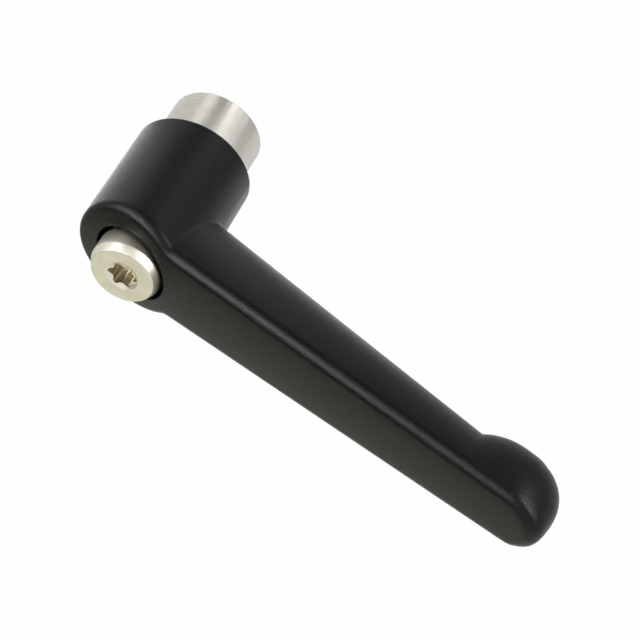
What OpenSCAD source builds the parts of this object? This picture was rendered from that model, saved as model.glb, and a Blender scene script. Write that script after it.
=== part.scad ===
// Adjustable clamping lever with a threaded insert.
// The cast lever sits on a toothed insert. A screw in the top of the insert holds the
// lever on, and a spring under the screw's head presses the lever down into the teeth.
// Lifting the lever against the spring frees the teeth, so the arm can be set to a new
// angle before it is let down and turned to clamp.
// Frame: +Z runs up the hub's axis, +X runs along the arm, and the origin is the middle
// of the insert's lower face, which is the face that clamps.

/* [Lever hub] */
// Outer diameter of the hub at its lower face
hub_d = 21.2; // [19.5:0.5:26]
// Draft of the hub, which makes it wider towards its top, in degrees
hub_draft = 0.45; // [0:0.05:1]
// Height of the hub on its axis, from its lower face to its sloping top
hub_h = 25.5; // [22:0.1:32]
// Diameter of the counterbore that holds the screw's head and the spring
counterbore_d = 14; // [13.4:0.1:15.4]
// Thickness of the ledge that carries the spring
ledge_t = 2.2; // [1.5:0.1:4]
// Edge break round the lower face of the hub
hub_edge = 0.5; // [0.2:0.1:1]

/* [Lever arm] */
// Level distance from the hub's axis to the outermost point of the arm
lever_reach = 81.4; // [65:0.2:110]
// Slope of the arm and of the hub's top, in degrees
arm_slope = 16.6; // [10:0.1:22]
// Width of the arm, carried back to the hub's axis
arm_root_w = 16.2; // [14:0.1:17]
// Width of the arm at the middle of its rounded end
arm_tip_w = 12; // [10:0.1:14]
// Upright depth of the arm, carried back to the hub's axis
arm_root_depth = 17.6; // [14:0.1:18]
// Upright depth of the arm at its end, before the knob's extra depth
arm_tip_depth = 10.2; // [8:0.1:12]
// Radius of the crown across the top of the arm and of the hub
crown_r = 55; // [45:1:200]
// Radius of the rounded edge between the crowned top and the sides
edge_r = 1.9; // [1:0.1:2.6]
// Radius of the same edge at the back of the hub, where it is sharper
back_edge_r = 0.5; // [0.3:0.1:1.9]
// Radius of the blend between the sides of the arm and the hub
root_fillet = 2; // [1.5:0.1:5]
// Radius of the blend where the belly of the arm meets the hub
belly_fillet = 1.3; // [0.5:0.1:1.8]

/* [Knob at the end of the arm] */
// Extra depth of the knob below the arm's belly
knob_drop = 3; // [1:0.1:4]
// How far the knob's sides swell past the arm
knob_swell = 1.1; // [0.3:0.1:1.5]
// How far the knob's end swells past its top edge
knob_nose = 1.4; // [0.8:0.05:2.5]
// Radius of the top edge at the very end of the knob, where it is fuller
nose_edge_r = 3.2; // [1.9:0.1:4]
// Length of the knob's rounded end, from its middle to its top edge
knob_len = 6.6; // [5:0.1:8]
// Length of the neck over which the arm grows into the knob
neck_run = 8.6; // [6:0.2:12]

/* [Insert] */
// Outer diameter of the collar
collar_d = 16.5; // [15.8:0.1:18.5]
// Height of the collar
collar_h = 9.7; // [6:0.1:14]
// Inner diameter of the clamping thread, which is the wall of the bore
thread_minor_d = 8.5; // [6.8:0.1:9]
// Length of the teeth above the collar
tooth_len = 4.2; // [3:0.2:5]
// Number of teeth
tooth_count = 24; // [12:12:24]
// Radial height of the teeth
tooth_h = 1.1; // [0.8:0.05:1.2]
// Diameter of the plain journal above the teeth
journal_d = 12; // [11.4:0.1:12.2]
// Length of the journal
journal_len = 4; // [3:0.2:5]
// Edge break on the insert
insert_edge = 0.4; // [0.2:0.1:0.6]
// Radial width of the countersink at the mouth of the clamping thread
thread_lead = 0.9; // [0.5:0.1:1.4]
// Full angle of that countersink, in degrees
lead_angle = 120; // [90:10:130]

/* [Retaining screw] */
// Diameter of the head
head_d = 12.5; // [11:0.1:13]
// Height of the head
head_h = 4.8; // [3.5:0.1:6]
// How far the head stands above the hub's sloping top, on the axis
head_proud = 3; // [2:0.1:5]
// Radial width of the bevel round the top of the head
head_bevel = 0.65; // [0.2:0.05:1]
// Height of that bevel
head_bevel_h = 1.4; // [0.3:0.1:1.6]
// Diameter of the plain shoulder under the head
shoulder_d = 8; // [7:0.1:8.6]
// Diameter of the screw's thread
screw_d = 6; // [5:0.5:6]
// Length of the small thread in the top of the insert that takes the screw
screw_hold = 5.2; // [4:0.2:7]
// Distance across the lobes of the six-lobe socket
socket_d = 5.3; // [4.5:0.1:5.6]
// Depth of the lobes
lobe_h = 0.72; // [0.5:0.02:0.8]
// Depth of the socket
socket_depth = 2.6; // [1.5:0.1:3.2]
// Depth of the countersink round the socket
socket_lead = 0.35; // [0.2:0.05:0.5]

/* [Spring] */
// Mean diameter of the coil
coil_d = 10.5; // [10:0.1:10.7]
// Diameter of the wire
wire_d = 1; // [0.8:0.05:1.2]
// Number of turns, with the closed turn at each end
coil_turns = 6; // [5:0.5:6.5]

/* [Clearances] */
// Axial gap between the collar and the hub at rest
seat_gap = 0.05; // [0.03:0.01:0.1]
// Radial gap between the journal and the lever's guide bore
guide_gap = 0.06; // [0.03:0.01:0.1]
// Gap between the teeth of the insert and of the lever
tooth_gap = 0.15; // [0.1:0.01:0.25]
// Axial gap above the teeth and above the journal at rest
end_gap = 0.35; // [0.2:0.05:0.6]
// Radial gap between the ledge and the screw's shoulder
shoulder_gap = 0.35; // [0.2:0.05:0.6]
// Gap between each end of the spring and its seat
spring_gap = 0.05; // [0.02:0.01:0.1]
// Radial gap in the thread between the screw and the insert
screw_gap = 0.02; // [0.01:0.01:0.05]

/* [Hidden] */

$fn = 96;
past = 1;
slope = tan(arm_slope);

// Heights up the hub's axis
hub_z = collar_h + seat_gap;
hub_top = hub_z + hub_h;
tooth_top = collar_h + tooth_len;
insert_top = tooth_top + journal_len;
groove_top = tooth_top + end_gap;
ledge_z = insert_top + end_gap;
ledge_top = ledge_z + ledge_t;
head_top = hub_top + head_proud;
head_z = head_top - head_h;
thread_depth = insert_top - screw_hold;
lead_depth = thread_lead / tan(lead_angle / 2);
screw_end = thread_depth + end_gap;

// Radii
root_step = 0.1;
hub_r = hub_d / 2;
journal_r = journal_d / 2;
tooth_root_r = journal_r + root_step;
tooth_tip_r = tooth_root_r + tooth_h;
guide_r = journal_r + guide_gap;

// Half width of a tooth at its root and at its tip, as shares of the pitch
tooth_foot = 0.36;
tooth_crest = 0.16;

// Arm and knob: the share of the knob's length left under it, and how fast the neck grows
knob_foot = 0.11;
neck_power = 2.2;
knob_x = lever_reach - max([for (a = [0 : 5 : 90]) knob_length(a)]);
neck_x = knob_x - neck_run;

// Radius of the hub at its top, and where the arm's belly meets it
hub_top_r = hub_r + hub_h * tan(hub_draft);
hub_root_r = mix(hub_r, hub_top_r, (hub_h + slope * hub_r - arm_depth(hub_r) - belly_fillet) / hub_h);

// Wire of the spring: its sides, and its steps in one turn
wire_sides = 10;
wire_steps = 20;

// Radius that the countersink of the socket gains for each unit of height
socket_flare = 2;

// Steps of the lever's skin: across the top, round the edge and the belly, then along the hub, the
// blend, the arm, the neck and the knob, and under the root of the arm
crown_steps = 8;
edge_steps = 6;
belly_steps = 12;
belly_last = 84;
hub_steps = 26;
blend_steps = 6;
arm_steps = 12;
neck_steps = 9;
knob_steps = 10;
under_steps = 4;

// How far the fillet under the root of the arm runs out past its radius
under_run = 0.3;

function ease(t) = t * t * (3 - 2 * t);
function mix(a, b, t) = a + (b - a) * t;
function top_z(x) = hub_top + slope * x;

// Fall of the crowned top at distance y from the middle of the arm
function crown(y) = y ^ 2 / (2 * crown_r);

// Half width, depth and swell of the arm at distance x from the hub's axis
function neck(x) = 1 - (1 - min(max((x - neck_x) / neck_run, 0), 1)) ^ neck_power;
function arm_half(x) = mix(arm_root_w, arm_tip_w, x / knob_x) / 2;
function arm_depth(x) = mix(arm_root_depth, arm_tip_depth, x / knob_x) + knob_drop * neck(x);

// Length of the knob past its middle, at angle a round the belly
function knob_length(a) = knob_len * mix(knob_foot, 1, cos(a)) + knob_nose * sin(2 * a);

// One level of the skin is [inset, drop, belly angle], the first two as shares of the edge radius:
// the levels go first round the top edge and then round the belly
levels = concat(
    [for (i = [0 : edge_steps])
        let (a = 90 * i / edge_steps)
        [1 - sin(a), 1 - cos(a), 0]],
    [for (i = [1 : belly_steps])
        [0, 1, belly_last * i / belly_steps]]);

function level_half(level, x, edge) =
    arm_half(x) * cos(level[2]) + knob_swell * neck(x) * sin(2 * level[2]) - level[0] * edge;
function level_drop(level, depth, edge) = level[1] * edge + (depth - edge) * sin(level[2]);
function level_hub_r(level, edge) = mix(hub_top_r, hub_root_r, sin(level[2])) - level[0] * edge;

// Blend circle between the hub and the side of the arm at one level: [radius, x, y] of its middle
function blend_circle(level) =
    let (r = level_hub_r(level, edge_r),
         f = mix(root_fillet, belly_fillet, sin(level[2])) + level[0] * edge_r,
         x = sqrt((r + f) ^ 2 - (level_half(level, hub_r, edge_r) + f) ^ 2),
         y = level_half(level, x, edge_r) + f)
    [f, sqrt((r + f) ^ 2 - y ^ 2), y];

// How far a level falls in its blend, so that the fillet turns from the sides to under the belly
function root_fall(level, a) = belly_fillet * sin(level[2]) * (1 - sin(a));

// Height of a point on the hub: level with the root of the arm at the lowest level, before that fall
function hub_point_z(level, blend, x, edge) =
    top_z(x) - level_drop(level, arm_depth(blend[1]) + slope * (x - blend[1]), edge);

// Half of one level under a flat top, from the back of the hub to the end of the knob, on the +Y side
function flat_half(level) =
    let (blend = blend_circle(level), turn = atan2(blend[2], blend[1]))
    concat(
        [for (i = [0 : hub_steps])
            let (a = mix(180, turn, i / hub_steps),
                 edge = mix(back_edge_r, edge_r, ease(i / hub_steps)),
                 r = level_hub_r(level, edge),
                 x = r * cos(a))
            [x, r * sin(a), hub_point_z(level, blend, x, edge) - root_fall(level, turn)]],
        [for (i = [1 : blend_steps])
            let (a = mix(turn, 90, i / blend_steps), x = blend[1] - blend[0] * cos(a))
            [x, blend[2] - blend[0] * sin(a), hub_point_z(level, blend, x, edge_r) - root_fall(level, a)]],
        [for (i = [1 : arm_steps + neck_steps])
            let (x = i > arm_steps
                ? mix(neck_x, knob_x, (i - arm_steps) / neck_steps)
                : mix(blend[1], neck_x, i / arm_steps))
            [x, level_half(level, x, edge_r), top_z(x) - level_drop(level, arm_depth(x), edge_r)]],
        [for (i = [1 : knob_steps])
            let (a = 90 * (1 - i / knob_steps),
                 edge = mix(edge_r, nose_edge_r, ease(i / knob_steps)),
                 x = knob_x + (knob_length(level[2]) - level[0] * edge) * cos(a))
            [x, level_half(level, knob_x, edge) * sin(a),
                top_z(x) - level_drop(level, arm_depth(knob_x), edge)]]);

// The same half under the crowned top, which the belly no longer follows
function half_level(level) = [for (p = flat_half(level)) [p[0], p[1], p[2] - crown(p[1]) * cos(level[2])]];

// The hub below the arm: the lowest level's hub and blend, drawn in to a plain circle
root_count = hub_steps + blend_steps;
function hub_angle(p) = atan2(p[1], p[0]);
function under_half(lowest, z, turn) =
    [for (i = [0 : root_count])
        let (p = lowest[i],
             a = hub_angle(p),
             r = mix(norm([p[0], p[1]]), hub_root_r, sin(turn)))
        [r * cos(a), r * sin(a), mix(p[2], z, 1 - cos(turn))]];
function half_circle(lowest, r, z) =
    [for (i = [0 : root_count])
        let (a = hub_angle(lowest[i]))
        [r * cos(a), r * sin(a), z]];

function whole(half, closed) =
    concat(half, [for (i = [len(half) - (closed ? 2 : 1) : -1 : 1]) [half[i][0], -half[i][1], half[i][2]]]);

// Faces between two loops of n points that start at points a and b
function band(a, b, n) = [for (i = [0 : n - 1])
    let (j = (i + 1) % n)
    each [[a + i, b + i, a + j], [a + j, b + i, b + j]]];

// Faces from below across a loop of n points from a, rung by rung between its two mirrored halves
function ladder(a, n, first, last) = [for (i = [first : last - 1])
    let (p = a + i, q = a + i + 1, s = a + (n - i) % n, t = a + (n - i - 1) % n)
    each [for (f = [[p, t, q], [p, s, t]]) if (f[0] != f[1] && f[1] != f[2] && f[0] != f[2]) f]];

// Points inside the crowned top, in rows across its edge loop
function top_inside(edge) = [for (i = [1 : len(edge) - 2], j = [1 : crown_steps - 1])
    let (p = edge[i], y = p[1] * (1 - 2 * j / crown_steps))
    [p[0], y, p[2] + crown(p[1]) - crown(y)]];

// Number of point j in row i of the top: a row's ends lie on the loop of n points, the points inside
// start at a, and the first and the last row are single points
function top_number(i, j, n, a) =
    i == 0 || j == 0 || i == n / 2 ? i
    : j == crown_steps ? n - i
    : a + (i - 1) * (crown_steps - 1) + j - 1;

// Faces of the crowned top
function top_faces(n, a) = [for (i = [0 : n / 2 - 1], j = [0 : crown_steps - 1])
    let (p = top_number(i, j, n, a), q = top_number(i + 1, j, n, a),
         s = top_number(i, j + 1, n, a), t = top_number(i + 1, j + 1, n, a))
    each [for (f = [[p, q, t], [p, t, s]]) if (f[0] != f[1] && f[1] != f[2] && f[0] != f[2]) f]];

// Outer skin of the casting: hub, arm and knob as one closed loft
module casting() {
    halves = [for (level = levels) half_level(level)];
    lowest = halves[len(halves) - 1];
    half_n = len(lowest);
    n = 2 * half_n - 2;
    under_z = lowest[root_count][2] - belly_fillet - under_run;
    unders = concat(
        [for (i = [1 : under_steps]) under_half(lowest, under_z, 90 * i / under_steps)],
        [half_circle(lowest, hub_r, hub_z + hub_edge)],
        [half_circle(lowest, hub_r - hub_edge, hub_z)]);
    m = 2 * root_count + 1;
    upper = [for (h = halves) each whole(h, true)];
    lower = [for (h = unders) each whole(h, false)];
    rows = len(levels);
    low = (rows - 1) * n;
    start = rows * n;
    // Loop at the root of the arm, picked out of the lowest level
    seam = concat([for (i = [0 : root_count]) low + i], [for (i = [root_count : -1 : 1]) low + n - i]);
    polyhedron(
        points = concat(upper, lower, top_inside(halves[0])),
        faces = concat(
            top_faces(n, start + len(lower)),
            [for (k = [0 : rows - 2]) each band(k * n, (k + 1) * n, n)],
            ladder(low, n, root_count, half_n - 1),
            [for (i = [0 : m - 1])
                let (j = (i + 1) % m)
                each [[seam[i], start + i, seam[j]], [seam[j], start + i, start + j]]],
            [for (k = [0 : len(unders) - 2]) each band(start + k * m, start + (k + 1) * m, m)],
            ladder(start + (len(unders) - 1) * m, m, 0, root_count)),
        convexity = 6);
}

// Outline of the teeth, grown by a gap on every side
module tooth_outline(gap) {
    root = tooth_root_r + gap;
    tip = tooth_tip_r + gap;
    pitch = 360 / tooth_count;
    grow = 2 * gap / (root + tip) * 180 / PI;
    polygon([for (i = [0 : tooth_count - 1])
        each [for (p = [[root, -tooth_foot], [tip, -tooth_crest], [tip, tooth_crest], [root, tooth_foot]])
            let (a = i * pitch + p[1] * pitch + sign(p[1]) * grow)
            p[0] * [cos(a), sin(a)]]]);
}

// Die-cast lever: hub, arm and knob, bored for the insert, the spring and the screw's head
module lever() {
    color([0.09, 0.09, 0.09])
    difference() {
        casting();
        translate([0, 0, hub_z - past])
            linear_extrude(groove_top - hub_z + past) tooth_outline(tooth_gap);
        translate([0, 0, groove_top - past / 2])
            cylinder(h = ledge_z - groove_top + past / 2, r = guide_r);
        translate([0, 0, ledge_z - past])
            cylinder(h = ledge_t + 2 * past, r = shoulder_d / 2 + shoulder_gap);
        translate([0, 0, ledge_top])
            cylinder(h = top_z(hub_r) - ledge_top + past, r = counterbore_d / 2);
    }
}

// Turned insert: collar, teeth and journal, threaded right through
module threaded_insert() {
    color([0.78, 0.77, 0.74])
    difference() {
        union() {
            rotate_extrude()
                polygon([[0, 0], [collar_d / 2 - insert_edge, 0], [collar_d / 2, insert_edge],
                    [collar_d / 2, collar_h - insert_edge], [collar_d / 2 - insert_edge, collar_h],
                    [journal_r, collar_h], [journal_r, insert_top - insert_edge],
                    [journal_r - insert_edge, insert_top], [0, insert_top]]);
            translate([0, 0, collar_h - insert_edge])
                linear_extrude(tooth_len + insert_edge) tooth_outline(0);
        }
        translate([0, 0, -past])
            cylinder(h = thread_depth + past, d = thread_minor_d);
        translate([0, 0, -past])
            cylinder(h = insert_top + 2 * past, r = screw_d / 2 + screw_gap);
        translate([0, 0, -past])
            cylinder(h = lead_depth + past,
                r1 = thread_minor_d / 2 + thread_lead * (lead_depth + past) / lead_depth,
                r2 = thread_minor_d / 2);
    }
}

// Outline of the six-lobe socket
module socket_outline() {
    middle = socket_d / 2 - lobe_h / 2;
    polygon([for (a = [0 : 5 : 355]) (middle + lobe_h / 2 * cos(6 * a)) * [cos(a), sin(a)]]);
}

// Shouldered screw with a flat round head, which holds the lever on the insert
module retaining_screw() {
    color([0.82, 0.80, 0.73])
    difference() {
        rotate_extrude()
            polygon([[0, screw_end], [screw_d / 2 - insert_edge, screw_end],
                [screw_d / 2, screw_end + insert_edge], [screw_d / 2, insert_top],
                [shoulder_d / 2, insert_top], [shoulder_d / 2, head_z], [head_d / 2, head_z],
                [head_d / 2, head_top - head_bevel_h], [head_d / 2 - head_bevel, head_top], [0, head_top]]);
        translate([0, 0, head_top - socket_depth])
            linear_extrude(socket_depth + past) socket_outline();
        translate([0, 0, head_top - socket_lead])
            cylinder(h = socket_lead + past, r1 = socket_d / 2 - lobe_h / 2,
                r2 = socket_d / 2 - lobe_h / 2 + socket_flare * (socket_lead + past));
    }
}

// Height of the wire's middle after a number of turns, with one closed turn at each end
function wire_z(turn) =
    let (open = (head_z - ledge_top - 2 * spring_gap - 2 * wire_d) / (coil_turns - 2))
    turn < 1 ? wire_d * turn
    : turn > coil_turns - 1 ? wire_d + open * (coil_turns - 2) + wire_d * (turn - coil_turns + 1)
    : wire_d + open * (turn - 1);

// Compression spring, swept along its helix and ground flat at both ends
module return_spring() {
    rings = ceil(coil_turns * wire_steps);
    base = ledge_top + spring_gap;
    color([0.62, 0.62, 0.64])
    intersection() {
        translate([0, 0, base])
            polyhedron(
                points = [for (k = [0 : rings], i = [0 : wire_sides - 1])
                    let (turn = coil_turns * k / rings,
                         a = -360 * i / wire_sides,
                         r = (coil_d + wire_d * cos(a)) / 2)
                    [r * cos(360 * turn), r * sin(360 * turn), wire_z(turn) + wire_d / 2 * sin(a)]],
                faces = concat(
                    [[for (i = [0 : wire_sides - 1]) i]],
                    [for (k = [0 : rings - 1]) each band(k * wire_sides, (k + 1) * wire_sides, wire_sides)],
                    [[for (i = [wire_sides - 1 : -1 : 0]) rings * wire_sides + i]]),
                convexity = 8);
        translate([0, 0, base])
            cylinder(h = head_z - spring_gap - base, d = coil_d + 2 * wire_d);
    }
}

lever();
threaded_insert();
retaining_screw();
return_spring();
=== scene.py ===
# %% [markdown]
# # An adjustable clamping lever, dressed for a studio picture
#
# The real object is a black die-cast lever on a toothed stainless insert. A screw with a six-lobe
# socket holds the lever on, and a hidden spring presses it down into the teeth. The solids of all
# four pieces already exist at their real size, so this lesson only gives them their looks: crisp
# turned steel, a tapped thread, a wound spring and a fine-textured powder coat. Pieces are shaped in
# millimetres and scaled to metres when they are done. The floor, the lamp and the cards round them
# are set out in metres.

# %% Load the solids
import math

import bmesh
import bpy
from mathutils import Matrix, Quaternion, Vector


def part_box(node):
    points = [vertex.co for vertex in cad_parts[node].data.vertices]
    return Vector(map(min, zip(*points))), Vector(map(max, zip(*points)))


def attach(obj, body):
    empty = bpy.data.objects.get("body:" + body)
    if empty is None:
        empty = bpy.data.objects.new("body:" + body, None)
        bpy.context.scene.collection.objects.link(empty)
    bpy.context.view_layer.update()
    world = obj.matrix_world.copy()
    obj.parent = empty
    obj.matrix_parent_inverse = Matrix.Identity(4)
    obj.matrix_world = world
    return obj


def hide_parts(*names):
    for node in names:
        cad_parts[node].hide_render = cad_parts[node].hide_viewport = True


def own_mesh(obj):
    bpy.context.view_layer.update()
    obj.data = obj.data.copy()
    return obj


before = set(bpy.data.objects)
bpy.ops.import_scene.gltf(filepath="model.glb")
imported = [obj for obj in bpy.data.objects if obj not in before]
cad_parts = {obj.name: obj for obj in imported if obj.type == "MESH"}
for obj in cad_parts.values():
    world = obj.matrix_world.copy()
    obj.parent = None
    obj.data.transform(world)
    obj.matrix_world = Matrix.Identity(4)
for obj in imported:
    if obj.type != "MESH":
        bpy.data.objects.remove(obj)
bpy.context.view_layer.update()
MM = 0.001
ORIGIN = (0, 0, 0)
X_AXIS = (1, 0, 0)
Z_AXIS = (0, 0, 1)
scene = bpy.context.scene
print("solids:", sorted(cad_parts))

# %% [markdown]
# ## Where the camera stands
#
# The picture was taken from above the arm's side with a long lens, and the camera was rolled so far
# that the arm runs down to the right. A camera that simply looks at the lever would keep +Z upright,
# so the look-at turn is made first and the roll is added about the line of sight. The Standard view
# transform shows colours as they are written.

# %% Camera
CAMERA_PLACE = Vector((128.35, 369.03, 347.13)) * MM
CAMERA_AIM = Vector((32.61, -0.38, 31.73)) * MM
CAMERA_ROLL = math.radians(149.995)
CAMERA_LENS = 170.9
CAMERA_SENSOR = 36.0
CAMERA_NEAR = 0.01

camera = bpy.data.objects.new("camera", bpy.data.cameras.new("camera"))
scene.collection.objects.link(camera)
camera.data.lens = CAMERA_LENS
camera.data.sensor_width = CAMERA_SENSOR
camera.data.clip_start = CAMERA_NEAR
camera.location = CAMERA_PLACE
camera.rotation_mode = "QUATERNION"
look = (CAMERA_AIM - CAMERA_PLACE).to_track_quat("-Z", "Y")
camera.rotation_quaternion = look @ Quaternion(Z_AXIS, -CAMERA_ROLL)
scene.camera = camera
scene.view_settings.view_transform = "Standard"
print("camera distance in mm:", round((CAMERA_AIM - CAMERA_PLACE).length / MM))

# %% [markdown]
# ## Node helpers
#
# Every finish below is a small network of procedural nodes. They could be wired one line at a time,
# but a few helpers keep the networks short: they add a node, give its inputs a value or a link, and
# start a material.

# %% Node helpers
def link_or_set(tree, socket, value):
    if isinstance(value, bpy.types.NodeSocket):
        tree.links.new(value, socket)
    else:
        socket.default_value = value


def set_inputs(tree, node, **inputs):
    for name, value in inputs.items():
        link_or_set(tree, node.inputs[name.replace("_", " ")], value)


def add_node(tree, kind, settings=None, **inputs):
    node = tree.nodes.new(kind)
    for name, value in (settings or {}).items():
        setattr(node, name, value)
    set_inputs(tree, node, **inputs)
    return node


def start_material(name):
    material = bpy.data.materials.new(name)
    material.use_nodes = True
    tree = material.node_tree
    return material, tree, tree.nodes["Principled BSDF"]


print("node helpers are ready")

# %% [markdown]
# ## Pattern helpers
#
# A finish is a pattern that varies the colour, the roughness and the height of a surface. The
# position on the object is taken in millimetres, so that a grain can be written as a real size, and
# each of the other helpers returns the one output of its node that the next node needs.

# %% Pattern helpers
def millimetres(tree):
    place = add_node(tree, "ShaderNodeTexCoord").outputs["Object"]
    scaled = add_node(tree, "ShaderNodeVectorMath", {"operation": "SCALE"}, Vector=place, Scale=1 / MM)
    return scaled.outputs["Vector"]


def math_node(tree, operation, *values):
    node = add_node(tree, "ShaderNodeMath", {"operation": operation})
    for socket, value in zip(node.inputs, values):
        link_or_set(tree, socket, value)
    return node.outputs["Value"]


def noise(tree, place, per_mm, **inputs):
    return add_node(tree, "ShaderNodeTexNoise", Vector=place, Scale=per_mm, **inputs).outputs["Fac"]


def bump(tree, height, depth_mm, **inputs):
    node = add_node(tree, "ShaderNodeBump", Height=height, Distance=depth_mm * MM, **inputs)
    return node.outputs["Normal"]


def tones_between(tree, pattern, spread, tones):
    node = add_node(tree, "ShaderNodeValToRGB", Fac=pattern)
    for element, position, tone in zip(node.color_ramp.elements, spread, tones):
        element.position = position
        element.color = (*tone, 1)
    return node.outputs["Color"]


def values_between(tree, pattern, low, high):
    node = add_node(tree, "ShaderNodeMapRange", {"clamp": True}, Value=pattern, To_Min=low, To_Max=high)
    return node.outputs["Result"]


print("pattern helpers are ready")

# %% [markdown]
# ## Powder coat
#
# The casting wears a black powder coat with a fine, dry texture. Powder melts into tiny rounded
# grains, about a fifth of a millimetre across, over an orange-peel swell that is about twice as
# coarse. Grains of that size would take millions of faces, so both go into the bump. The same grain
# slightly varies the colour and the roughness, which makes the edge sparkle.

# %% Powder coat
GRAIN_MM = 0.22
GRAIN_DEPTH_MM = 0.08
GRAIN_SPREAD = (0.3, 0.75)
PEEL_MM = 0.4
PEEL_DEPTH_MM = 0.06
COAT_BLACKS = ((0.0012, 0.0012, 0.0011), (0.0045, 0.0045, 0.0041))
COAT_ROUGHNESS = (0.16, 0.30)
COAT_SHINE = 0.20

def powder_coat():
    material, tree, shader = start_material("powder_coat")
    place = millimetres(tree)
    grain = noise(tree, place, 1 / GRAIN_MM, Detail=3.0, Roughness=0.6)
    peel = noise(tree, place, 1 / PEEL_MM, Detail=2.0)
    swell = bump(tree, peel, PEEL_DEPTH_MM, Strength=1.0)
    set_inputs(tree, shader,
               Base_Color=tones_between(tree, grain, GRAIN_SPREAD, COAT_BLACKS),
               Roughness=values_between(tree, grain, *COAT_ROUGHNESS),
               Normal=bump(tree, grain, GRAIN_DEPTH_MM, Strength=0.8, Normal=swell),
               Specular_IOR_Level=COAT_SHINE)
    return material


POWDER_COAT = powder_coat()
print("made", POWDER_COAT.name)

# %% [markdown]
# ## The painted shade inside the bore
#
# Inside the counterbore a duller coat that hardly shines paints the shade of the bore, so the gap round the
# screw's head stays black. The shine could be lowered by a mask in the same material, but a second, simpler
# material on the faces of the bore is easier to read.

# %% Painted shade in the bore
BORE_BLACKS = ((0.002, 0.002, 0.002), (0.006, 0.006, 0.006))
BORE_ROUGHNESS = 0.75
BORE_SHINE = 0.05

# Painted shade: a dull black coat that hardly shines keeps the bore dark.
def bore_shade_coat():
    material, tree, shader = start_material("bore_shade_coat")
    grain = noise(tree, millimetres(tree), 1 / GRAIN_MM, Detail=3.0)
    set_inputs(tree, shader,
               Base_Color=tones_between(tree, grain, GRAIN_SPREAD, BORE_BLACKS),
               Normal=bump(tree, grain, GRAIN_DEPTH_MM, Strength=0.6),
               Roughness=BORE_ROUGHNESS,
               Specular_IOR_Level=BORE_SHINE)
    return material


BORE_SHADE_COAT = bore_shade_coat()
print("made", BORE_SHADE_COAT.name)

# %% [markdown]
# ## Turned and drawn steel
#
# A lathe leaves fine rings: along the axis on a cylinder, along the radius on an end face. The sum of
# the radius and the height runs across the rings on both kinds of face, so one noise on that sum
# draws them all. The rings also smear reflections, which the shader's own anisotropy does. Slow
# stains in the colour and rings in the roughness keep the metal from looking like a mirror.

# %% Turned and drawn steel
RING_STRENGTH = 0.35
STAINS_PER_MM = 0.45
STAIN_SPREAD = (0.35, 0.7)

def lathe_rings(tree, place, ring_mm):
    parts = add_node(tree, "ShaderNodeSeparateXYZ", Vector=place).outputs
    squares = [math_node(tree, "MULTIPLY", parts[axis], parts[axis]) for axis in "XY"]
    radius = math_node(tree, "SQRT", math_node(tree, "ADD", *squares))
    across = math_node(tree, "ADD", radius, parts["Z"])
    rings = add_node(tree, "ShaderNodeTexNoise", {"noise_dimensions": "1D"}, W=across, Scale=1 / ring_mm,
                     Detail=4.0)
    return rings.outputs["Fac"]


def steel(name, tones, ring_mm, ring_depth_mm, roughness, anisotropy):
    material, tree, shader = start_material(name)
    place = millimetres(tree)
    rings = lathe_rings(tree, place, ring_mm)
    stain = noise(tree, place, STAINS_PER_MM, Detail=3.0)
    tangent = add_node(tree, "ShaderNodeTangent", {"direction_type": "RADIAL", "axis": "Z"})
    set_inputs(tree, shader,
               Base_Color=tones_between(tree, stain, STAIN_SPREAD, tones),
               Roughness=values_between(tree, rings, *roughness),
               Normal=bump(tree, rings, ring_depth_mm, Strength=RING_STRENGTH),
               Tangent=tangent.outputs["Tangent"],
               Metallic=1.0,
               Anisotropic=anisotropy)
    return material


TURNED_STEEL = steel("turned_steel", tones=((0.63, 0.615, 0.56), (0.68, 0.665, 0.61)), ring_mm=0.12,
                     ring_depth_mm=0.02, roughness=(0.20, 0.32), anisotropy=0.6)
print("made", TURNED_STEEL.name)

# %% More steels
SCREW_STEEL = steel("screw_steel", tones=((0.605, 0.584, 0.502), (0.685, 0.661, 0.569)), ring_mm=0.16,
                    ring_depth_mm=0.01, roughness=(0.33, 0.45), anisotropy=0.2)
# The socket steel is darker and warmer than the head: painted shade for the recess of the socket.
SOCKET_SHADE_STEEL = steel("socket_shade_steel", tones=((0.42, 0.385, 0.29), (0.54, 0.495, 0.385)), ring_mm=0.3,
                     ring_depth_mm=0.02, roughness=(0.22, 0.36), anisotropy=0.0)
SPRING_STEEL = steel("spring_steel", tones=((0.09, 0.09, 0.095), (0.15, 0.15, 0.155)), ring_mm=0.2,
                     ring_depth_mm=0.01, roughness=(0.35, 0.5), anisotropy=0.3)
print("made", [made.name for made in (SCREW_STEEL, SOCKET_SHADE_STEEL, SPRING_STEEL)])

# %% [markdown]
# ## Turning
#
# A turned piece is an outline spun about the axis, just as it comes off a lathe. Corners are rounded
# on the flat outline, before the spin, because a bevel of a few points is quicker and cleaner than
# one of whole rings.

# %% Turning
FULL_TURN = 2 * math.pi
TURNING_STEPS = 128
ROUND_STEPS = 4
MERGE_MM = 1e-4

def turned(outline, rounds, closed):
    bm = bmesh.new()
    points = [bm.verts.new((r, 0, z)) for r, z in outline]
    pairs = list(zip(points, points[1:]))
    if closed:
        pairs.append((points[-1], points[0]))
    for pair in pairs:
        bm.edges.new(pair)
    for index, size in rounds.items():
        bmesh.ops.bevel(bm, geom=[points[index]], offset=size, segments=ROUND_STEPS, profile=0.5,
                        affect="VERTICES", material=-1)
    bmesh.ops.spin(bm, geom=bm.verts[:] + bm.edges[:], cent=ORIGIN, axis=Z_AXIS, angle=FULL_TURN,
                   steps=TURNING_STEPS, use_merge=True)
    bmesh.ops.remove_doubles(bm, verts=bm.verts, dist=MERGE_MM)
    bmesh.ops.recalc_face_normals(bm, faces=bm.faces)
    return bm


print("a turned piece has", TURNING_STEPS, "steps round")

# %% [markdown]
# ## Cutting, joining and finishing
#
# Cutting and joining use the exact Boolean, on objects that live only for that. A finished piece is
# scaled to metres, shaded smooth up to a sharp angle, and handed to the body that it moves with.
# Weighted normals let the broad faces rule the shading, so narrow rounds catch the light cleanly.

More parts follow.
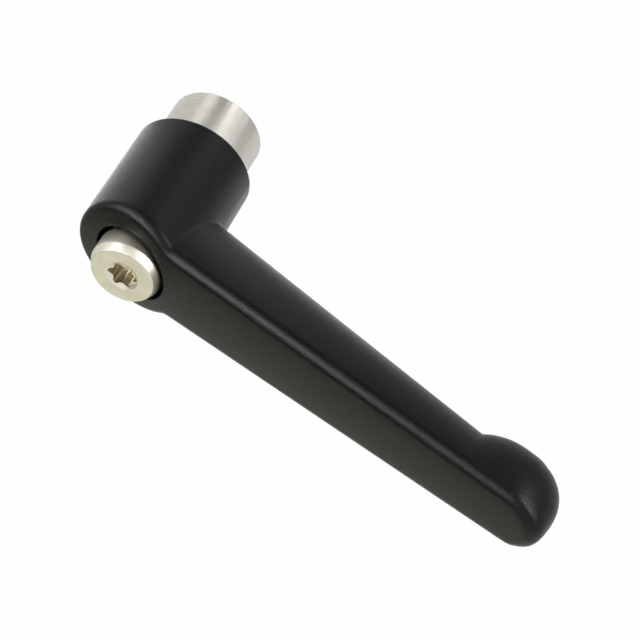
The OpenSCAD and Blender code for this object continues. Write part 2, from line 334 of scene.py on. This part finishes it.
# %% Cutting and joining
def as_object(bm, name):
    mesh = bpy.data.meshes.new(name)
    bm.to_mesh(mesh)
    bm.free()
    made = bpy.data.objects.new(name, mesh)
    scene.collection.objects.link(made)
    return made


def combined(base, tool, operation):
    first = as_object(base, "work_base")
    second = as_object(tool, "work_tool")
    cut = first.modifiers.new("cut", "BOOLEAN")
    cut.operation = operation
    cut.object = second
    cut.solver = "EXACT"
    bm = bmesh.new()
    bm.from_object(first, bpy.context.evaluated_depsgraph_get())
    for work in (first, second):
        bpy.data.objects.remove(work)
    bmesh.ops.remove_doubles(bm, verts=bm.verts, dist=MERGE_MM)
    return bm


print("cuts merge points closer than", MERGE_MM, "mm")

# %% Finishing a piece
SHARP_ANGLE = math.radians(24)

def shade_by_angle(bm):
    for face in bm.faces:
        face.smooth = True
    for edge in bm.edges:
        edge.smooth = edge.calc_face_angle(0) < SHARP_ANGLE


def finish_piece(bm, name, body, slot, node, *materials):
    bmesh.ops.scale(bm, vec=(MM, MM, MM), verts=bm.verts)
    shade_by_angle(bm)
    piece = as_object(bm, name)
    for material in materials:
        piece.data.materials.append(material)
    weights = piece.modifiers.new("even_normals", "WEIGHTED_NORMAL")
    weights.keep_sharp = True
    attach(piece, body)
    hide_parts(node)
    print(name, "has", len(piece.data.polygons), "faces")
    return piece


print("edges over", round(math.degrees(SHARP_ANGLE)), "degrees stay sharp")

# %% [markdown]
# ## The insert
#
# The insert is bar stock turned to a collar, a ring of teeth and a journal. The plain body is spun,
# the teeth are one prism repeated round the axis, and the clamping thread is cut with a tap: a ridge
# with the flanks of a metric thread, swept up a helix and taken out of the bore.

# %% Insert body
insert_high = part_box("threaded_insert")[1]
COLLAR_R = insert_high.x / MM
INSERT_TOP = insert_high.z / MM
SEAT_GAP = 0.05
COLLAR_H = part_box("lever")[0].z / MM - SEAT_GAP
JOURNAL_R = 6.0
EDGE = 0.4
BORE_R = 4.25
SCREW_HOLD = 5.2
BORE_END = INSERT_TOP - SCREW_HOLD
LEAD = 0.9
LEAD_DEPTH = 0.52
SCREW_HOLE_R = 3.02

def insert_body():
    outline = [(BORE_R + LEAD, 0), (COLLAR_R, 0), (COLLAR_R, COLLAR_H), (JOURNAL_R, COLLAR_H),
               (JOURNAL_R, INSERT_TOP), (SCREW_HOLE_R, INSERT_TOP), (SCREW_HOLE_R, BORE_END),
               (BORE_R, BORE_END), (BORE_R, LEAD_DEPTH)]
    return turned(outline, {1: EDGE, 2: EDGE, 4: EDGE}, closed=True)


insert_bm = insert_body()
print("plain insert:", len(insert_bm.faces), "faces")

# %% Insert teeth
TOOTH_COUNT = 24
TOOTH_PITCH = FULL_TURN / TOOTH_COUNT
TOOTH_FOOT_R = 6.1
TOOTH_TIP_R = 7.2
TOOTH_SINK = 0.6
TOOTH_ROOT_R = TOOTH_FOOT_R - TOOTH_SINK
TOOTH_FOOT_HALF = 0.36 * TOOTH_PITCH
TOOTH_TIP_HALF = 0.16 * TOOTH_PITCH
TOOTH_LEN = 4.2

def tooth_ring():
    bm = bmesh.new()
    corners = [(TOOTH_ROOT_R, -TOOTH_FOOT_HALF), (TOOTH_FOOT_R, -TOOTH_FOOT_HALF),
               (TOOTH_TIP_R, -TOOTH_TIP_HALF), (TOOTH_TIP_R, TOOTH_TIP_HALF),
               (TOOTH_FOOT_R, TOOTH_FOOT_HALF), (TOOTH_ROOT_R, TOOTH_FOOT_HALF)]
    foot_z = COLLAR_H - TOOTH_SINK
    foot = bm.faces.new([bm.verts.new((r * math.cos(a), r * math.sin(a), foot_z)) for r, a in corners])
    grown = bmesh.ops.extrude_face_region(bm, geom=[foot])["geom"]
    raised = [part for part in grown if isinstance(part, bmesh.types.BMVert)]
    bmesh.ops.translate(bm, vec=(0, 0, TOOTH_LEN + TOOTH_SINK), verts=raised)
    bmesh.ops.recalc_face_normals(bm, faces=bm.faces)
    bmesh.ops.spin(bm, geom=bm.faces[:], cent=ORIGIN, axis=Z_AXIS, angle=FULL_TURN - TOOTH_PITCH,
                   steps=TOOTH_COUNT - 1, use_duplicate=True)
    return bm


insert_bm = combined(insert_bm, tooth_ring(), "UNION")
print("toothed insert:", len(insert_bm.faces), "faces")

# %% Tapped thread
THREAD_R = 5.0
THREAD_PITCH = 1.5
THREAD_CREST = THREAD_PITCH / 8
FLANK_ANGLE = math.radians(30)
TAP_CORE_R = 3.95
TAP_START = -1.5
TAP_TURNS = 9
TAP_STEPS = 40

def tap():
    bm = bmesh.new()
    flank = (THREAD_R - TAP_CORE_R) * math.tan(FLANK_ANGLE)
    half = THREAD_CREST / 2
    section = [(TAP_CORE_R, -half - flank), (THREAD_R, -half), (THREAD_R, half), (TAP_CORE_R, half + flank)]
    bm.faces.new([bm.verts.new((r, 0, TAP_START + z)) for r, z in section])
    bmesh.ops.spin(bm, geom=bm.faces[:], cent=ORIGIN, axis=Z_AXIS, angle=TAP_TURNS * FULL_TURN,
                   dvec=(0, 0, THREAD_PITCH / TAP_STEPS), steps=TAP_TURNS * TAP_STEPS)
    bmesh.ops.recalc_face_normals(bm, faces=bm.faces)
    print("tap ends at z", round(max(vert.co.z for vert in bm.verts), 2))
    return bm


insert_bm = combined(insert_bm, tap(), "DIFFERENCE")
finish_piece(insert_bm, "insert_body", "insert", "turned_steel", "threaded_insert", TURNED_STEEL)

# %% [markdown]
# ## The retaining screw
#
# The screw is spun like the insert. Its six-lobe socket is pressed in, so it is cut with a punch: a round
# blank whose wall is pushed in and out six times round. A short cone then cuts the lead-in, and the walls
# and the floor of the socket take a darker, warmer steel than the turned head, which paints the shade in
# the socket.

# %% Screw blank
screw_low, screw_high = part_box("retaining_screw")
HEAD_R = screw_high.x / MM
HEAD_TOP = screw_high.z / MM
SCREW_END = screw_low.z / MM
HEAD_H = 4.8
HEAD_LOW = HEAD_TOP - HEAD_H
BEVEL = 0.65
BEVEL_H = 1.4
HEAD_EDGE = 0.1
SHOULDER_R = 4.0
SCREW_R = 3.0

def screw_blank():
    outline = [(0, SCREW_END), (SCREW_R, SCREW_END), (SCREW_R, INSERT_TOP), (SHOULDER_R, INSERT_TOP),
               (SHOULDER_R, HEAD_LOW), (HEAD_R, HEAD_LOW), (HEAD_R, HEAD_TOP - BEVEL_H),
               (HEAD_R - BEVEL, HEAD_TOP), (0, HEAD_TOP)]
    return turned(outline, {1: EDGE, 5: EDGE / 2, 6: HEAD_EDGE, 7: HEAD_EDGE}, closed=False)


screw_bm = screw_blank()
print("screw blank:", len(screw_bm.faces), "faces")

# %% Socket punch
SOCKET_R = 2.65
SOCKET_STEPS = 96
LOBES = 6
LOBE = 0.36
SOCKET_MIDDLE_R = SOCKET_R - LOBE
SOCKET_DEPTH = 2.6
SOCKET_FLOOR = HEAD_TOP - SOCKET_DEPTH
TOOL_OVERSHOOT = 1

def punch():
    bm = bmesh.new()
    bmesh.ops.create_circle(bm, cap_ends=True, radius=1, segments=SOCKET_STEPS)
    for vert in bm.verts:
        angle = math.atan2(vert.co.y, vert.co.x)
        swing = (SOCKET_MIDDLE_R + LOBE * math.cos(LOBES * angle)) / math.hypot(vert.co.x, vert.co.y)
        vert.co.x *= swing
        vert.co.y *= swing
    bmesh.ops.translate(bm, vec=(0, 0, SOCKET_FLOOR), verts=bm.verts)
    grown = bmesh.ops.extrude_face_region(bm, geom=bm.faces[:])["geom"]
    raised = [part for part in grown if isinstance(part, bmesh.types.BMVert)]
    bmesh.ops.translate(bm, vec=(0, 0, SOCKET_DEPTH + TOOL_OVERSHOOT), verts=raised)
    bmesh.ops.recalc_face_normals(bm, faces=bm.faces)
    return bm


screw_bm = combined(screw_bm, punch(), "DIFFERENCE")
print("punched screw:", len(screw_bm.faces), "faces")

# %% Lead-in and finished screw
SOCKET_LEAD = 0.35
SOCKET_FLARE = 2.0
FLOOR_SLACK = 0.1

def lead_cone():
    bm = bmesh.new()
    tall = SOCKET_LEAD + TOOL_OVERSHOOT
    bmesh.ops.create_cone(bm, cap_ends=True, segments=SOCKET_STEPS, radius1=SOCKET_MIDDLE_R,
                          radius2=SOCKET_MIDDLE_R + SOCKET_FLARE * tall, depth=tall)
    bmesh.ops.translate(bm, vec=(0, 0, HEAD_TOP - SOCKET_LEAD + tall / 2), verts=bm.verts)
    return bm


screw_bm = combined(screw_bm, lead_cone(), "DIFFERENCE")
# The walls and the floor of the socket take the darker steel, which is painted shade.
for face in screw_bm.faces:
    middle = face.calc_center_median()
    inside = math.hypot(middle.x, middle.y) < SOCKET_R
    deep = SOCKET_FLOOR - FLOOR_SLACK < middle.z < HEAD_TOP - SOCKET_LEAD
    face.material_index = int(inside and deep)
finish_piece(screw_bm, "screw_body", "insert", "screw_steel", "retaining_screw", SCREW_STEEL, SOCKET_SHADE_STEEL)

# %% [markdown]
# ## The return spring
#
# The spring is wound wire with a closed turn at each end, ground flat to sit square. A circle of wire
# is spun with a rise on each step, in three stretches, and two planes then grind the ends. When the
# lever lifts, the spring is squashed against the screw's head by as much as the lever travels.

# %% Wound wire
spring_low, spring_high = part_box("return_spring")
SPRING_LOW = spring_low.z / MM
SPRING_HIGH = spring_high.z / MM
FREE_LENGTH = SPRING_HIGH - SPRING_LOW
COIL_R = 5.25
WIRE_R = 0.5
WIRE_SIDES = 14
CLOSED_RISE = 2 * WIRE_R
OPEN_RISE = FREE_LENGTH - 2 * CLOSED_RISE
OPEN_TURNS = 4
TURN_STEPS = 40

def wound_wire():
    bm = bmesh.new()
    bmesh.ops.create_circle(bm, cap_ends=True, radius=WIRE_R, segments=WIRE_SIDES)
    upright = Quaternion(X_AXIS, math.pi / 2).to_matrix()
    bmesh.ops.rotate(bm, cent=ORIGIN, matrix=upright, verts=bm.verts)
    bmesh.ops.translate(bm, vec=(COIL_R, 0, SPRING_LOW), verts=bm.verts)
    end = bm.faces[:]
    for turns, rise in ((1, CLOSED_RISE), (OPEN_TURNS, OPEN_RISE), (1, CLOSED_RISE)):
        steps = turns * TURN_STEPS
        end = bmesh.ops.spin(bm, geom=end, cent=ORIGIN, axis=Z_AXIS, angle=turns * FULL_TURN,
                             dvec=(0, 0, rise / steps), steps=steps)["geom_last"]
    bmesh.ops.recalc_face_normals(bm, faces=bm.faces)
    return bm


spring_bm = wound_wire()
print("wound wire:", len(spring_bm.faces), "faces")

def grind(bm, height, side):
    cut = bmesh.ops.bisect_plane(bm, geom=bm.verts[:] + bm.edges[:] + bm.faces[:],
                                 plane_co=(0, 0, height), plane_no=(0, 0, side), clear_outer=True)
    rim = [part for part in cut["geom_cut"] if isinstance(part, bmesh.types.BMEdge)]
    bmesh.ops.holes_fill(bm, edges=rim)


grind(spring_bm, SPRING_LOW, -1)
grind(spring_bm, SPRING_HIGH, 1)
spring = finish_piece(spring_bm, "spring_coil", "spring", "spring_wire", "return_spring", SPRING_STEEL)
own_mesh(spring)

# %% [markdown]
# ## The lever casting
#
# The casting's skin is already a fine loft, so its own mesh is the best start. A copy is merged into one
# surface, flat areas are dissolved into single faces, and the rim of the counterbore gets the small round
# that the coat gives every edge. A few passes of smoothing ease the last sections of the loft into one
# round nose, and the faces inside the bore take the duller coat that paints their shade.

# %% Skin and rim of the lever
COUNTERBORE_R = 7.0
RIM_ROUND = 0.12
RIM_SLACK = 0.02
RIM_STEPS = 3
LEDGE_CLEAR = 1
LOFT_MERGE_MM = 1e-3
FLAT_ANGLE = math.radians(0.3)

def on_rim(edge):
    radii = [math.hypot(vert.co.x, vert.co.y) for vert in edge.verts]
    on_wall = all(abs(radius - COUNTERBORE_R) < RIM_SLACK for radius in radii)
    above_ledge = all(vert.co.z > SPRING_LOW + LEDGE_CLEAR for vert in edge.verts)
    return on_wall and above_ledge and edge.calc_face_angle(0) > SHARP_ANGLE


def lever_skin():
    bm = bmesh.new()
    bm.from_mesh(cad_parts["lever"].data)
    bmesh.ops.scale(bm, vec=(1 / MM, 1 / MM, 1 / MM), verts=bm.verts)
    bmesh.ops.remove_doubles(bm, verts=bm.verts, dist=LOFT_MERGE_MM)
    bmesh.ops.dissolve_limit(bm, angle_limit=FLAT_ANGLE, verts=bm.verts, edges=bm.edges)
    rim = [edge for edge in bm.edges if on_rim(edge)]
    bmesh.ops.bevel(bm, geom=rim, offset=RIM_ROUND, segments=RIM_STEPS, profile=0.5, affect="EDGES",
                    material=-1)
    print("rounded", len(rim), "edges of the rim")
    return bm


lever_bm = lever_skin()

# %% Nose, bore and finished lever
NOSE_LENGTH = 5
NOSE_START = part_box("lever")[1].x / MM - NOSE_LENGTH
NOSE_PASSES = 3
NOSE_EASE = 0.5

def ease_nose(bm):
    nose = [vert for vert in bm.verts if vert.co.x > NOSE_START]
    for _ in range(NOSE_PASSES):
        bmesh.ops.smooth_vert(bm, verts=nose, factor=NOSE_EASE, use_axis_x=True, use_axis_y=True,
                              use_axis_z=True)
    print("smoothed", len(nose), "points of the nose")


ease_nose(lever_bm)
# The faces inside the bore take the dull coat, which is painted shade.
for face in lever_bm.faces:
    middle = face.calc_center_median()
    face.material_index = int(math.hypot(middle.x, middle.y) < COUNTERBORE_R + RIM_SLACK)
finish_piece(lever_bm, "lever_casting", "lever", "powder_coat", "lever", POWDER_COAT, BORE_SHADE_COAT)

# %% [markdown]
# ## Floor and world
#
# The background is plain white. Camera, glossy and transmission rays see white straight away, so the
# steel reflects a white room, while all other rays meet a calmer light that doesn't wash out the
# black coat. The floor blends the same white with a diffuse shade, which keeps the soft shadow.

# %% World
ROOM_LIGHT = 0.5
ROOM_WHITE = 1.0

def sees_background(tree, in_steel=1.0):
    path = add_node(tree, "ShaderNodeLightPath").outputs
    mirrored = math_node(tree, "MAXIMUM", path["Is Glossy Ray"], path["Is Transmission Ray"])
    in_mirrors = math_node(tree, "MULTIPLY", mirrored, in_steel)
    return math_node(tree, "MAXIMUM", path["Is Camera Ray"], in_mirrors)


def white_world():
    world = bpy.data.worlds.new("white_room")
    world.use_nodes = True
    tree = world.node_tree
    set_inputs(tree, tree.nodes["Background"],
               Color=(1, 1, 1, 1),
               Strength=values_between(tree, sees_background(tree), ROOM_LIGHT, ROOM_WHITE))
    return world


scene.world = white_world()
print("world", scene.world.name, "lights the lever at", ROOM_LIGHT)

# %% Floor
FLOOR_SIZE = 6.0
FLOOR_GREY = 0.86
FLOOR_ROUGHNESS = 0.9
FLOOR_WHITE = 0.975
FLOOR_IN_STEEL = 0.35

def floor_material():
    material, tree, shader = start_material("pale_floor")
    set_inputs(tree, shader, Base_Color=(FLOOR_GREY, FLOOR_GREY, FLOOR_GREY, 1), Roughness=FLOOR_ROUGHNESS)
    glow = add_node(tree, "ShaderNodeEmission", Color=(1, 1, 1, 1), Strength=1.0)
    share = math_node(tree, "MULTIPLY", sees_background(tree, FLOOR_IN_STEEL), FLOOR_WHITE)
    mixed = add_node(tree, "ShaderNodeMixShader", Fac=share)
    tree.links.new(shader.outputs["BSDF"], mixed.inputs[1])
    tree.links.new(glow.outputs["Emission"], mixed.inputs[2])
    set_inputs(tree, tree.nodes["Material Output"], Surface=mixed.outputs["Shader"])
    return material


floor_bm = bmesh.new()
bmesh.ops.create_grid(floor_bm, x_segments=1, y_segments=1, size=FLOOR_SIZE / 2)
floor = as_object(floor_bm, "floor")
floor.data.materials.append(floor_material())
print("floor at z = 0, which is the insert's lower face")

# %% [markdown]
# ## Lamp
#
# The white room lights the lever softly from all sides, so one lamp is enough. It is a large soft
# box that stands high beyond the hub, on the camera's side, where the rounded edge of the sloping
# top mirrors it as one long bright line.

# %% Lamp
LAMP_SIDE = Vector((-0.637, 0.465, 0.615)).normalized()
LAMP_DISTANCE = 0.64
LAMP_WIDTH = 0.37
LAMP_HEIGHT = 0.42
LAMP_WATTS = 1.55

def soft_box(name):
    data = bpy.data.lights.new(name, "AREA")
    data.shape = "RECTANGLE"
    data.size = LAMP_WIDTH
    data.size_y = LAMP_HEIGHT
    data.energy = LAMP_WATTS
    lamp = bpy.data.objects.new(name, data)
    scene.collection.objects.link(lamp)
    lamp.location = CAMERA_AIM + LAMP_SIDE * LAMP_DISTANCE
    lamp.rotation_mode = "QUATERNION"
    lamp.rotation_quaternion = LAMP_SIDE.to_track_quat("Z", "Y")
    return lamp


print("lamp", soft_box("edge_line").name, "has", LAMP_WATTS, "W")

# %% [markdown]
# ## Cards
#
# A product photographer shapes reflections with dark and bright cards that stay out of the picture.
# Here a dark card hangs beside the soft box and two more stand and lie in front of the arm, so the
# line along the rounded edge gets a dark border. Three small bright cards add glints: on the nose,
# on the bevel of the screw's head and at the hub's end of the edge. A large cream card behind the
# lever is what the head and the sloping top mirror. Only reflections see the cards: the camera, the
# shadows and the diffuse light do not.

# %% Paper for the cards
WHITE = (1.0, 1.0, 1.0)

def paper(name, glow, tint):
    material, tree, shader = start_material(name)
    set_inputs(tree, shader, Base_Color=(0, 0, 0, 1), Emission_Color=(*tint, 1), Emission_Strength=glow)
    return material


def only_reflected(bm, name, glow, tint=WHITE):
    piece = as_object(bm, name)
    piece.data.materials.append(paper(name, glow, tint))
    piece.visible_camera = False
    piece.visible_diffuse = False
    piece.visible_shadow = False


print("paper shows in reflections only")

# %% Cards
DARK = 0.02
CREAM = (1.0, 0.99, 0.83)

def card(name, centre, facing, width, height, glow=DARK, tint=WHITE, slant=0):
    bm = bmesh.new()
    bmesh.ops.create_grid(bm, x_segments=1, y_segments=1, size=0.5)
    bmesh.ops.scale(bm, vec=(width, height, 1), verts=bm.verts)
    turn = Vector(facing).to_track_quat("Z", "Y") @ Quaternion(Z_AXIS, math.radians(slant))
    bmesh.ops.rotate(bm, cent=ORIGIN, matrix=turn.to_matrix(), verts=bm.verts)
    bmesh.ops.translate(bm, vec=centre, verts=bm.verts)
    only_reflected(bm, name, glow, tint)
    print(name, "glows at", glow)


card("hanging_card", centre=(-0.36, -0.14, 0.40), facing=(0.70, 0.25, -0.67), width=0.42, height=0.42)
card("standing_card", centre=(-0.10, 0.30, 0.045), facing=(0.40, -0.90, 0), width=0.28, height=0.09)
card("lying_card", centre=(-0.030, 0.195, 0.0005), facing=(0, 0, 1), width=0.13, height=0.18)
card("glint_card", centre=(0.184, 0.137, 0.069), facing=(-0.57, -0.82, 0), width=0.19, height=0.045,
     glow=12.0, slant=32)
card("left_glint_card", centre=(-0.12, 0.16, 0.055), facing=(0.6, -0.8, 0), width=0.06, height=0.04,
     glow=4.5)
card("edge_glint_card", centre=(-0.08, 0.078, 0.132), facing=(0.6, -0.47, -0.65), width=0.07, height=0.07,
     glow=11.0)
card("back_card", centre=(-0.22, -0.55, 0.38), facing=(0.3, 0.8, -0.5), width=1.1, height=0.8,
     glow=0.93, tint=CREAM)

# %% [markdown]
# ## Paper strips round the foot
#
# A turned wall shows the floor round it as bands. Two fans of paper strips on the floor give the
# collar and the hub theirs. Each strip lies between two turns, in degrees from the side of the wall
# that faces the camera, and has its own glow. A line of sight that meets the wall at some turn leaves
# it at twice that turn, so the edges of a strip run out from the wall in that direction.

# %% Paper strips
WALL_FACING = 75.4
STRIP_RISE = 0.02
HUB_WALL_R = 10.7
COLLAR_REACH = (0, 14)
HUB_REACH = (11, 48)
COLLAR_STRIPS = ((29, 17, 0.92), (13, 3, 0.45), (-3, -11, 1.30), (-11, -19, 1.0), (-19, -30, 0.80),
                 (-30, -47, 0.56), (-47, -80, 0.74))
HUB_STRIPS = ((88, 56, 1.5), (56, 28, 1.3), (22, 6, 0.5), (2, -14, 1.15), (-28, -44, 0.62),
              (-46, -88, 0.98))

def strip_edge(bm, turn, wall_r, reach):
    wall = Vector((wall_r + STRIP_RISE, 0, STRIP_RISE))
    wall.rotate(Quaternion(Z_AXIS, math.radians(WALL_FACING + turn)))
    run = Vector(X_AXIS)
    run.rotate(Quaternion(Z_AXIS, math.radians(WALL_FACING + 2 * turn)))
    return bm.edges.new([bm.verts.new(wall + run * distance) for distance in reach])


def paper_fan(wall, strips, wall_r, reach):
    for number, (first, last, glow) in enumerate(strips):
        bm = bmesh.new()
        edges = [strip_edge(bm, turn, wall_r, reach) for turn in (first, last)]
        bmesh.ops.bridge_loops(bm, edges=edges)
        bmesh.ops.scale(bm, vec=(MM, MM, MM), verts=bm.verts)
        only_reflected(bm, "%s_strip_%d" % (wall, number), glow)
    print(len(strips), "paper strips round the", wall)


paper_fan("collar", COLLAR_STRIPS, COLLAR_R, COLLAR_REACH)
paper_fan("hub", HUB_STRIPS, HUB_WALL_R, HUB_REACH)
